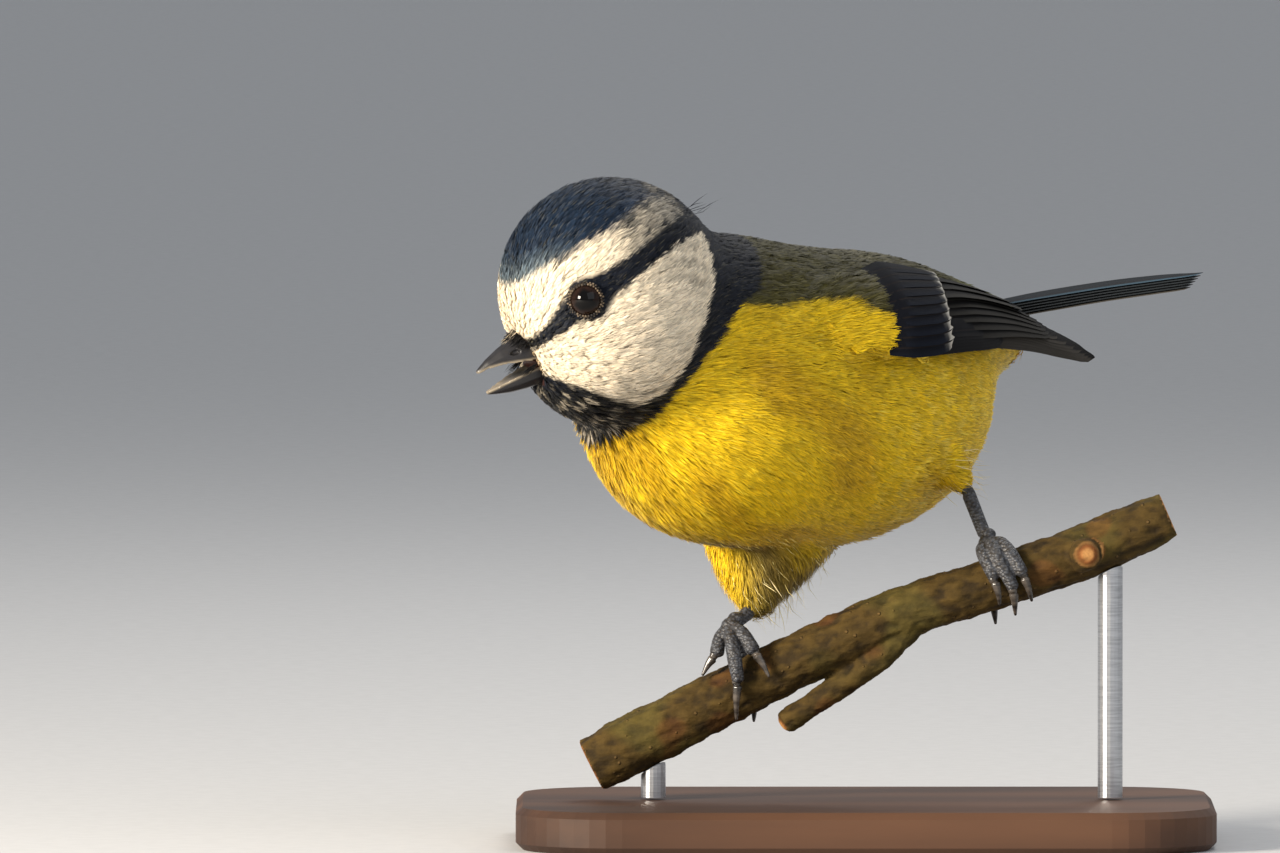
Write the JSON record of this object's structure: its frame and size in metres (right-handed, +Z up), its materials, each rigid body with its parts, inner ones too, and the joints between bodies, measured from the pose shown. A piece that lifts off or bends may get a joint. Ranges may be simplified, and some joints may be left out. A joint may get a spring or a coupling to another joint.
{
  "type": "blue tit on a perch",
  "caption": "Small songbird leaning forward on a sloping length of branch, head lowered and bill open, held by a flat base and rods.",
  "frame": {"origin": "centre of the base's underside", "axes": "+Z up, +X along the branch towards its higher end, +Y away from the side that the bird's left flank faces"},
  "size_m": [0.0901, 0.0953, 0.0807],
  "materials": {
    "plumage_head": "feathered",
    "plumage_body": "feathered",
    "plumage_flight": "feathered",
    "horn": "semi-gloss",
    "eye": "gloss",
    "skin": "scaly",
    "bark": "rough",
    "rod": "brushed",
    "base": "satin"
  },
  "bodies": {
    "root": {"head": "plumage_head", "neck": "plumage_head", "torso": "plumage_body", "tail": "plumage_flight", "bill_upper": "horn", "bill_lower": "horn", "perch": "bark", "stand_rod_low": "rod", "stand_rod_high": "rod", "stand_base": "base", "eye_left": "eye", "wing_left": "plumage_flight", "thigh_left": "plumage_body", "shank_left": "skin", "foot_left": "skin", "claw_left_1": "horn", "claw_left_2": "horn", "claw_left_3": "horn", "claw_left_4": "horn", "eye_right": "eye", "wing_right": "plumage_flight", "thigh_right": "plumage_body", "shank_right": "skin", "foot_right": "skin", "claw_right_1": "horn", "claw_right_2": "horn", "claw_right_3": "horn", "claw_right_4": "horn"}
  },
  "joints": []
}
